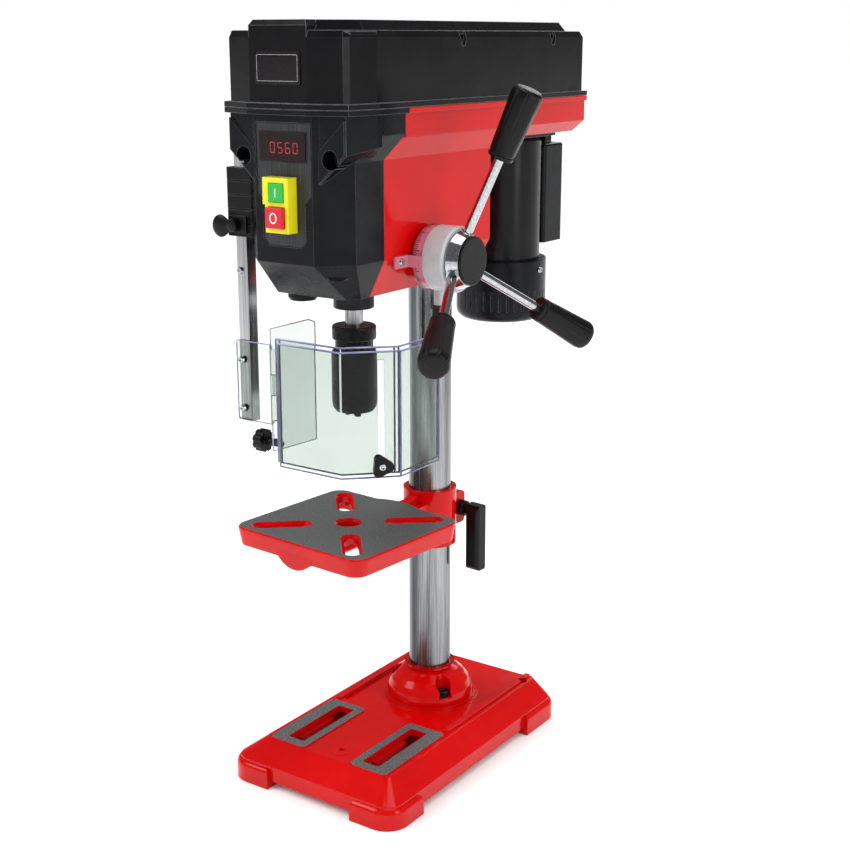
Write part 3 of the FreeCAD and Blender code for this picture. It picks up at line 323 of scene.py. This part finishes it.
def brushed_panel(name):
    """Dark panel with fine upright brushing."""
    s = Shade(name)
    s.put(Metallic=0.35)
    lines = s.noise(1.0, 3.0, 0.6, s.scaled(1500.0, 1500.0, 9.0))
    s.color(s.ramp(lines, [(0.35, (0.012, 0.0125, 0.014)), (0.66, (0.045, 0.046, 0.049))]))
    s.rough(s.span(lines, 0.3, 0.7, 0.34, 0.52))
    s.relief(lines, 0.00003, 0.0004)
    return s.mat


def lit_red(name):
    """Faintly glowing segments of the read-out."""
    s = Shade(name)
    s.put(Roughness=0.4, Emission_Strength=0.22)
    glow = s.ramp(s.noise(400.0), [(0.3, (0.22, 0.006, 0.010)), (0.7, (0.34, 0.014, 0.020))])
    s.color(glow)
    s.link(glow, s.bsdf.inputs["Emission Color"])
    return s.mat


def add(kind, name, *values, **options):
    M[name] = kind(name, *values, **options)


M = {}
add(enamel, "red_enamel", RED_DEEP, RED_LIT, 0.0012)
# the last colour of each black plastic below is the paler tone of its painted edge highlight
add(plastic, "black_enamel", (0.0030, 0.0031, 0.0038), (0.0048, 0.0050, 0.0060), 0.22, 0.0010,
    330.0, 0.00003, 0.24, (0.10, 0.10, 0.105))
add(plastic, "cover_plastic", (0.0040, 0.0040, 0.0046), (0.0062, 0.0062, 0.0070), 0.2, 0.0013,
    900.0, 0.00001, 0.16, (0.24, 0.24, 0.25))
add(plastic, "black_shell", (0.0035, 0.0038, 0.0048), (0.0060, 0.0065, 0.0078), 0.25, 0.0011,
    900.0, 0.00002, 0.17, (0.13, 0.135, 0.145))
add(plastic, "black_knob", (0.0035, 0.0035, 0.0038), (0.0065, 0.0065, 0.0068), 0.33, 0.0007,
    800.0, 0.00004, 0.2, (0.08, 0.08, 0.08))
add(brushed_panel, "panel_black")
add(metal, "drawn_steel", (0.22, 0.22, 0.23), (0.55, 0.55, 0.57), 0.2, 0.0004,
    (420.0, 420.0, 6.0), 0.00002, 1.0)
add(worn_steel, "dark_steel", (0.014, 0.014, 0.015), (0.34, 0.33, 0.32), 0.34, 0.0007)
add(metal, "chrome", (0.36, 0.38, 0.39), (0.60, 0.62, 0.63), 0.10, 0.0006)
add(plastic, "light_grey", (0.40, 0.41, 0.42), (0.48, 0.49, 0.50), 0.30, 0.0008, 900.0, 0.00004)
add(metal, "pulley_alloy", (0.55, 0.55, 0.56), (0.72, 0.72, 0.73), 0.3, 0.0005,
    (30.0, 30.0, 900.0), 0.00003, 1.0)
add(plastic, "belt_rubber", (0.010, 0.010, 0.010), (0.022, 0.022, 0.022), 0.75, 0.0008,
    600.0, 0.00015)
add(clear, "clear_guard", (0.71, 0.75, 0.725), 0.015)
add(clear_scale, "clear_red")
add(enamel, "display_black", (0.008, 0.002, 0.003), (0.014, 0.003, 0.005), 0.0005, 0.1)
add(plastic, "switch_yellow", (0.66, 0.60, 0.012), (0.74, 0.68, 0.020), 0.24, 0.0009,
    700.0, 0.00003)
add(plastic, "button_green", (0.012, 0.36, 0.030), (0.020, 0.44, 0.045), 0.26, 0.0009,
    700.0, 0.00003)
add(plastic, "button_red", (0.52, 0.006, 0.018), (0.62, 0.010, 0.026), 0.24, 0.0009,
    700.0, 0.00003)
add(enamel, "badge_black", (0.006, 0.005, 0.006), (0.010, 0.008, 0.009), 0.0005, 0.14)
add(milled_over_enamel, "milled_base", base_mask, 0.0011)
add(milled_over_enamel, "milled_table", table_mask, 0.0011)
add(column_steel, "column_steel")
add(sensor_grey, "sensor_grey")
add(lit_red, "lit_red")
add(plastic, "mark_white", (0.70, 0.70, 0.70), (0.80, 0.80, 0.80), 0.4, 0.0)
add(metal, "mark_grey", (0.35, 0.35, 0.36), (0.5, 0.5, 0.5), 0.35, 0.0)
add(plastic, "scale_ink", (0.010, 0.008, 0.010), (0.020, 0.016, 0.020), 0.4, 0.0)
# painted highlight: violet colour for the light caught by the clear guard's edges and folds
add(plastic, "guard_edge", (0.20, 0.20, 0.42), (0.44, 0.44, 0.66), 0.15, 0.0)

# CAD nodes whose finish is more than their slot's
SPECIAL = {"base_plate": "milled_base", "table": "milled_table", "column": "column_steel",
           "speed_sensor": "sensor_grey"}
for part in frame["record"]["subparts"]:
    ob = nodes[part["node"]]
    use = M[SPECIAL.get(part["node"], part["material_slot"])]
    if not ob.data.materials:
        ob.data.materials.append(use)
    for i in range(len(ob.material_slots)):
        ob.material_slots[i].material = use


# ---------------------------------------------------------------- mesh helpers
def show(name, data, body):
    """Put mesh or curve data in the scene as a piece of a body."""
    ob = bpy.data.objects.new(name, data)
    scene.collection.objects.link(ob)
    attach(ob, body)
    return ob


def piece(name, bm, mat, body, smooth=True):
    """Finish a bmesh as a piece that rides on a body."""
    bmesh.ops.recalc_face_normals(bm, faces=bm.faces)
    me = bpy.data.meshes.new(name)
    bm.to_mesh(me)
    bm.free()
    if smooth:
        me.shade_smooth()
    me.materials.append(M[mat])
    return show(name, me, body)


def frame_at(origin, axis):
    """A matrix whose local Z runs along axis from origin."""
    turn = Vector(axis).normalized().to_track_quat("Z", "Y")
    return Matrix.Translation(Vector(origin)) @ turn.to_matrix().to_4x4()


def skin(bm, low, high):
    """Quads between two closed rings of vertices."""
    for i in range(len(low)):
        j = (i + 1) % len(low)
        bm.faces.new((low[i], low[j], high[j], high[i]))


def lathe(bm, profile, at, count=64, wobble=None):
    """A closed surface of revolution. wobble(angle, index) scales the radius."""
    rings = []
    for i, (r, z) in enumerate(profile):
        ring = []
        for k in range(count):
            a = 2 * math.pi * k / count
            rr = r * (wobble(a, i) if wobble else 1.0)
            ring.append(bm.verts.new(at @ Vector((rr * math.cos(a), rr * math.sin(a), z))))
        rings.append(ring)
    for lo, hi in zip(rings, rings[1:]):
        skin(bm, lo, hi)
    bm.faces.new(list(reversed(rings[0])))
    bm.faces.new(rings[-1])


def prism(bm, points, at, depth):
    """A closed prism over an outline in the local XY plane."""
    low = [bm.verts.new(at @ Vector((x, y, 0.0))) for x, y in points]
    high = [bm.verts.new(at @ Vector((x, y, depth))) for x, y in points]
    bm.faces.new(list(reversed(low)))
    bm.faces.new(high)
    skin(bm, low, high)


def bar(bm, x, z, w, h, at, depth):
    """A thin upright rectangle, its lower left corner at x, z."""
    prism(bm, [(x, z), (x + w, z), (x + w, z + h), (x, z + h)], at, depth)


def smooth_by_angle(ob, degrees):
    for e in ob.data.edges:
        e.use_edge_sharp = False
    ob.data.set_sharp_from_angle(angle=math.radians(degrees))


# ---------------------------------------------------------------- feed lever grips
FEED = Vector((0.100, -0.10025, 0.578))  # where the three levers meet, on the feed shaft's axis
SPLAY = math.radians(24.0)  # each lever leans this far out from the hub's plane
PHASE = math.radians(4.0)  # the first lever's turn from upright
LEVERS = 3
CORNER = math.pi / 8  # half of one facet of the eight-sided grip
# radius and distance along the lever, from the collar to the domed end
GRIP = [(0.0049, 0.1115), (0.0112, 0.1115), (0.0124, 0.1120), (0.0129, 0.1132), (0.0129, 0.1150),
        (0.0119, 0.1160), (0.0119, 0.1170), (0.0130, 0.1178), (0.0134, 0.1195), (0.0139, 0.1290),
        (0.0145, 0.1420), (0.0151, 0.1550), (0.0156, 0.1660), (0.0160, 0.1730), (0.0160, 0.1770),
        (0.0154, 0.1798), (0.0143, 0.1816), (0.0128, 0.1826), (0.0080, 0.1833), (0.0010, 0.1835)]


def flute(angle, i):
    """Soft facets with a groove between them, on the handle's long part only."""
    if i < 8 or i > 17:
        return 1.0
    off = (angle + CORNER) % (2 * CORNER) - CORNER
    facet = math.cos(CORNER) / math.cos(off)
    seam = 0.06 * math.exp(-((abs(off) - CORNER) / 0.05) ** 2)
    return 0.6 * facet + 0.4 - seam * (0.5 if i < 10 else 1.0)


bm = bmesh.new()
for i in range(LEVERS):
    a = PHASE + 2 * math.pi * i / LEVERS
    d = Vector((math.sin(SPLAY), math.cos(SPLAY) * math.sin(a), math.cos(SPLAY) * math.cos(a)))
    lathe(bm, GRIP, frame_at(FEED, d), 96, flute)
grips = piece("lever_grips", bm, "black_knob", "feed")
smooth_by_angle(grips, 28)
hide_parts("feed_grips")

# ---------------------------------------------------------------- depth scale: ticks and numbers
RING_X = 0.0700  # inner end of the scale ring
RING_R = 0.03300  # its outer radius
TICKS = 100
SINK = 0.0001  # marks reach this far into the ring, and stand as far above it
GAP = 0.0002  # between the ring's end and the ticks
LONG, MIDDLE, SHORT = 0.0066, 0.0052, 0.0038


def round_feed(share):
    """A turn by a share of the circle about the feed shaft, starting at the top."""
    centre = Matrix.Translation((0, FEED.y, FEED.z))
    return centre @ Matrix.Rotation(2 * math.pi * share, 4, "X")


bm = bmesh.new()
for k in range(TICKS):
    long_tick = k % 10 == 0
    reach = LONG if long_tick else (MIDDLE if k % 5 == 0 else SHORT)
    half = 0.00052 if long_tick else 0.00040
    turn = round_feed(k / TICKS)
    x0, x1 = RING_X + GAP, RING_X + GAP + reach
    corners = [(x0, -half), (x1, -half), (x1, half), (x0, half)]
    low = [bm.verts.new(turn @ Vector((x, y, RING_R - SINK))) for x, y in corners]
    high = [bm.verts.new(turn @ Vector((x, y, RING_R + SINK))) for x, y in corners]
    bm.faces.new(high)
    skin(bm, low, high)
piece("scale_ticks", bm, "scale_ink", "depth_dial", smooth=False)
bm = bmesh.new()
for k in range(10):
    font = bpy.data.curves.new("number", "FONT")
    font.body = str(k)
    font.size = 0.0030
    font.extrude = 0.00008
    font.align_x = "CENTER"
    tmp = bpy.data.objects.new("number", font)
    scene.collection.objects.link(tmp)
    bpy.context.view_layer.update()
    flat = bpy.data.meshes.new_from_object(tmp.evaluated_get(bpy.context.evaluated_depsgraph_get()))
    at = Matrix.Translation((RING_X + 0.0092, 0, RING_R + 0.00006))
    flat.transform(round_feed(k / 10) @ at @ Matrix.Rotation(math.radians(-90), 4, "Z"))
    bm.from_mesh(flat)
    bpy.data.objects.remove(tmp)
    bpy.data.meshes.remove(flat)
piece("scale_numbers", bm, "scale_ink", "depth_dial", smooth=False)

# ---------------------------------------------------------------- chuck: knurled collar
SPIN_Y = -0.1385  # the spindle's axis
TEETH = 26  # diamonds round the collar
ROWS = 16  # rings of points up the knurled band


def knurl(angle, i):
    """Crossed ridges, which give small diamonds."""
    if i < 2 or i > ROWS + 1:
        return 1.0
    z = i * 0.45
    left, right = math.cos(TEETH * angle + z), math.cos(TEETH * angle - z)
    return 1.0 + 0.014 * (max(0.0, left) * max(0.0, right))


collar = [(0.0208, 0.4932), (0.0223, 0.4932)]
collar += [(0.02275, 0.4938 + 0.00078 * i) for i in range(ROWS)]
collar += [(0.0223, 0.5061), (0.0208, 0.5068)]
bm = bmesh.new()
lathe(bm, collar, Matrix.Translation((0, SPIN_Y, 0)), 8 * TEETH, knurl)
piece("chuck_knurl", bm, "dark_steel", "spindle_rotor")


# ---------------------------------------------------------------- switch marks and read-out
def on_front(y):
    """Local x right, y up, z towards the operator."""
    return Matrix.Translation((0, y, 0)) @ Matrix.Rotation(math.radians(90), 4, "X")


bm = bmesh.new()
prism(bm, [(0.0010, 0.6475), (0.0021, 0.6475), (0.0021, 0.6555), (0.0010, 0.6555)],
      on_front(-0.25945), 0.00025)
piece("start_mark", bm, "mark_white", "start_push", smooth=False)

# an upright oval ring on the stop button, its walls sunk into the button
RING_AT = (0.0015, 0.62825)
RING_POINTS = 40
MARK_FACE, MARK_ROOT = -0.26325, -0.2629


def oval(bm, half_x, half_z):
    ring = []
    for k in range(RING_POINTS):
        a = 2 * math.pi * k / RING_POINTS
        x, z = RING_AT[0] + half_x * math.cos(a), RING_AT[1] + half_z * math.sin(a)
        ring.append(bm.verts.new((x, MARK_FACE, z)))
    return ring


bm = bmesh.new()
inner = oval(bm, 0.0031, 0.0040)
outer = oval(bm, 0.0043, 0.0052)
roots = []
for ring in (inner, outer):
    roots.append([bm.verts.new((v.co.x, MARK_ROOT, v.co.z)) for v in ring])
skin(bm, inner, outer)
skin(bm, inner, roots[0])
skin(bm, outer, roots[1])
piece("stop_mark", bm, "mark_white", "stop_push", smooth=False)

SEGMENTS = {"0": "abcdef", "5": "acdfg", "6": "acdefg"}
DIGITS = "0560"
DIGIT_X, DIGIT_Z = -0.0150, 0.6870
DIGIT_STEP, DIGIT_W, DIGIT_H, STROKE = 0.0092, 0.0062, 0.0105, 0.0011


def digit(bm, ch, x0):
    """One seven-segment digit, its lower left corner at x0."""
    t, z0 = STROKE, DIGIT_Z
    across, right = DIGIT_W - 2 * t, x0 + DIGIT_W - t
    upper, lower, tall = z0 + DIGIT_H / 2 + t * 0.3, z0 + t * 0.6, DIGIT_H / 2 - t * 0.9
    bars = {
        "a": (x0 + t, z0 + DIGIT_H - t, across, t), "d": (x0 + t, z0, across, t),
        "g": (x0 + t, z0 + DIGIT_H / 2 - t / 2, across, t),
        "b": (right, upper, t, tall), "c": (right, lower, t, tall),
        "e": (x0, lower, t, tall), "f": (x0, upper, t, tall)}
    for segment in SEGMENTS[ch]:
        bar(bm, *bars[segment], on_front(-0.24538), 0.00010)


bm = bmesh.new()
for k, ch in enumerate(DIGITS):
    digit(bm, ch, DIGIT_X + DIGIT_STEP * k)
piece("read_out", bm, "lit_red", "stand", smooth=False)

# a plain light border on the blank badge plate
BADGE_X, BADGE_W = -0.0245, 0.049
BADGE_Z, BADGE_H = 0.7529, 0.0242
LINE = 0.0006
bm = bmesh.new()
for x, z, w, h in ((BADGE_X, 0.7765, BADGE_W, LINE), (BADGE_X, BADGE_Z, BADGE_W, LINE),
                   (BADGE_X, BADGE_Z, LINE, BADGE_H), (0.0239, BADGE_Z, LINE, BADGE_H)):
    bar(bm, x, z, w, h, on_front(-0.25018), 0.00012)
piece("badge_border", bm, "mark_grey", "cover", smooth=False)


# ---------------------------------------------------------------- thin tubes along edges
def tube_run(name, runs, radius, mat, body, slot, closed=False):
    """Thin round tubes along polylines, for beads and for the lit edges of clear sheet."""
    cu = bpy.data.curves.new(name, "CURVE")
    cu.dimensions = "3D"
    cu.bevel_depth = radius
    cu.bevel_resolution = 2
    for pts in runs:
        sp = cu.splines.new("POLY")
        sp.points.add(len(pts) - 1)
        for p, v in zip(sp.points, pts):
            p.co = (*v, 1.0)
        sp.use_cyclic_u = closed
    cu.materials.append(M[mat])
    show(name, cu, body)


def outline(xz, y):
    """Points in an upright plane, from millimetres."""
    return [(x / 1000.0, y, z / 1000.0) for x, z in xz]


SHELL = ("black_shell", "stand", "black_shell")
panel = [(33, 715.5), (33, 649), (26, 641), (26, 605), (20, 599.5)]
panel += [(-x, z) for x, z in reversed(panel)]
tube_run("panel_bead", [outline(panel, -0.24335)], 0.00055, *SHELL, True)
window = [(-28.3, 679.2), (28.3, 679.2), (28.3, 707.3), (-28.3, 707.3)]
tube_run("window_bead", [outline(window, -0.24455)], 0.0005, *SHELL, True)

# plan of the guard's door and of the apron in front of it, left to right
door = [(-0.0409, -0.2145), (0.041, -0.2145), (0.0815, -0.174), (0.0815, -0.108)]
apron = [(-0.036, -0.2176), (0.04228, -0.2176), (0.0846, -0.17528), (0.0846, -0.108)]
# the edge tubes are painted highlights: violet lines where the clear sheets' edges and folds
# refract and catch the light
for name, plan, z0, z1, body in (("door_edge", door, 0.3715, 0.500, "guard_front"),
                                 ("apron_edge", apron, 0.368, 0.496, "guard_apron")):
    runs = [[(x, y, z) for x, y in plan] for z in (z0, z1)]
    posts = [plan[0], plan[2], plan[-1]]
    if plan is door:
        flange, fold = plan[0], plan[2]
        posts += [(flange[0] + 0.0052, flange[1]), (fold[0] - 0.0030, fold[1] - 0.0030)]
    runs += [[(*at, z0), (*at, z1)] for at in posts]
    tube_run(name, runs, 0.0010, "guard_edge", body, "clear_guard")
side = [(-0.213, 0.381), (-0.142, 0.378), (-0.142, 0.505), (-0.152, 0.509), (-0.213, 0.509)]
MAST = ("guard_edge", "guard_mast", "clear_guard")
tube_run("side_edge", [[(-0.0493, y, z) for y, z in side]], 0.0007, *MAST, True)
plate = [(-0.093, 0.410), (-0.0485, 0.410), (-0.0485, 0.493), (-0.093, 0.493)]
tube_run("bracket_edge", [[(x, -0.2145, z) for x, z in plate]], 0.0008, *MAST, True)

# ---------------------------------------------------------------- knobs
knob_axis = Vector((math.sqrt(0.5), -math.sqrt(0.5), 0.0))
tri_face = Vector((0.0685, -0.187, 0.381)) + knob_axis * 0.01275
screw = [(0.0034, 0.0), (0.0034, 0.0007), (0.0030, 0.0011), (0.0017, 0.0012), (0.0016, 0.0006),
         (0.0001, 0.0006)]
bm = bmesh.new()
lathe(bm, screw, frame_at(tri_face, knob_axis), 32)
piece("apron_knob_screw", bm, "chrome", "apron_knob")

# the post's wing knob: a flattened ball, taller on its outer side, on a stepped stem
WING_AT = Vector((-0.0958, -0.2250, 0.6102))
bm = bmesh.new()
bmesh.ops.create_uvsphere(bm, u_segments=36, v_segments=20, radius=1.0)
for v in bm.verts:
    x, thick, z = v.co
    swell = 0.5 * (1.0 - math.tanh(2.0 * (x - 0.25)))
    v.co = Vector((WING_AT.x + x * 0.0149, WING_AT.y + thick * (0.0020 + 0.0007 * swell),
                   WING_AT.z + z * (0.0045 + 0.0082 * swell)))
stem = [(0.0008, 0.0), (0.0052, 0.0), (0.0063, 0.0006), (0.0066, 0.0016), (0.0066, 0.0060),
        (0.0058, 0.0068), (0.0030, 0.0068), (0.0030, 0.0148), (0.0005, 0.0149)]
lathe(bm, stem, frame_at((-0.084, -0.2282, 0.612), (0, 1, 0)), 40)
wing = piece("mast_wing_knob", bm, "black_knob", "mast_knob")
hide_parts("post_knob")

# ---------------------------------------------------------------- floor, light, camera
FLOOR_HALF = 40.0
FLOOR_DROP = 0.0004  # keeps the feet and the floor from sharing a plane
bm = bmesh.new()
bmesh.ops.create_grid(bm, x_segments=8, y_segments=8, size=FLOOR_HALF)
me = bpy.data.meshes.new("floor")
bm.to_mesh(me)
bm.free()
floor = bpy.data.objects.new("floor", me)
scene.collection.objects.link(floor)
floor.location = (0, 0, -FLOOR_DROP)
s = Shade("floor_pale")
s.put(Roughness=0.75, Specular_IOR_Level=0.0)
pale = [(0.3, (0.972, 0.972, 0.972)), (0.7, (0.988, 0.988, 0.988))]
s.color(s.ramp(s.noise(0.7, 2.0), pale))
me.materials.append(s.mat)

# the world lights the object evenly, is dim in reflections, and is plain white to the camera
WORLD_LIGHT, WORLD_REFLECTED, WORLD_SEEN = 1.08, 0.17, 1.0
WHITE = (1.0, 1.0, 1.0, 1.0)
world = bpy.data.worlds.new("studio")
scene.world = world
world.use_nodes = True
wt = world.node_tree
path = wt.nodes.new("ShaderNodeLightPath")
base_light = wt.nodes["Background"]
base_light.inputs["Color"].default_value = WHITE
base_light.inputs["Strength"].default_value = WORLD_LIGHT
shade_of = base_light.outputs[0]
for ray, strength in (("Is Glossy Ray", WORLD_REFLECTED), ("Is Camera Ray", WORLD_SEEN)):
    back = wt.nodes.new("ShaderNodeBackground")
    back.inputs["Strength"].default_value = strength
    back.inputs["Color"].default_value = WHITE
    mix = wt.nodes.new("ShaderNodeMixShader")
    wt.links.new(path.outputs[ray], mix.inputs[0])
    wt.links.new(shade_of, mix.inputs[1])
    wt.links.new(back.outputs[0], mix.inputs[2])
    shade_of = mix.outputs[0]
wt.links.new(shade_of, wt.nodes["World Output"].inputs["Surface"])


def area(name, at, to, size, power):
    """A soft box at one point, turned to another."""
    data = bpy.data.lights.new(name, "AREA")
    data.shape = "RECTANGLE"
    data.size, data.size_y = size
    data.energy = power
    ob = bpy.data.objects.new(name, data)
    scene.collection.objects.link(ob)
    ob.location = at
    ob.rotation_euler = (Vector(to) - Vector(at)).to_track_quat("-Z", "Y").to_euler()


area("key", (-1.5, -1.9, 2.1), (0, -0.05, 0.45), (1.0, 1.6), 26)
area("right_fill", (2.3, -0.4, 1.2), (0, 0, 0.45), (0.7, 1.8), 12)
area("top", (0.1, 0.1, 2.6), (0, 0, 0.4), (1.4, 1.4), 14)
area("rear", (-0.6, 2.4, 1.6), (0, 0, 0.5), (1.2, 1.4), 12)

# the view from the front right, slightly above
CAMERA_AT = (0.8858, -1.2953, 0.7930)
CAMERA_DOWN, CAMERA_ROUND = 74.88, 34.57  # degrees about X and Z
cam = bpy.data.cameras.new("camera")
cam.lens = 60.92
cam.sensor_width = 36.0
cam.clip_end = 60.0
eye = bpy.data.objects.new("camera", cam)
scene.collection.objects.link(eye)
eye.location = CAMERA_AT
eye.rotation_euler = (math.radians(CAMERA_DOWN), 0.0, math.radians(CAMERA_ROUND))
scene.camera = eye
scene.view_settings.view_transform = "Standard"
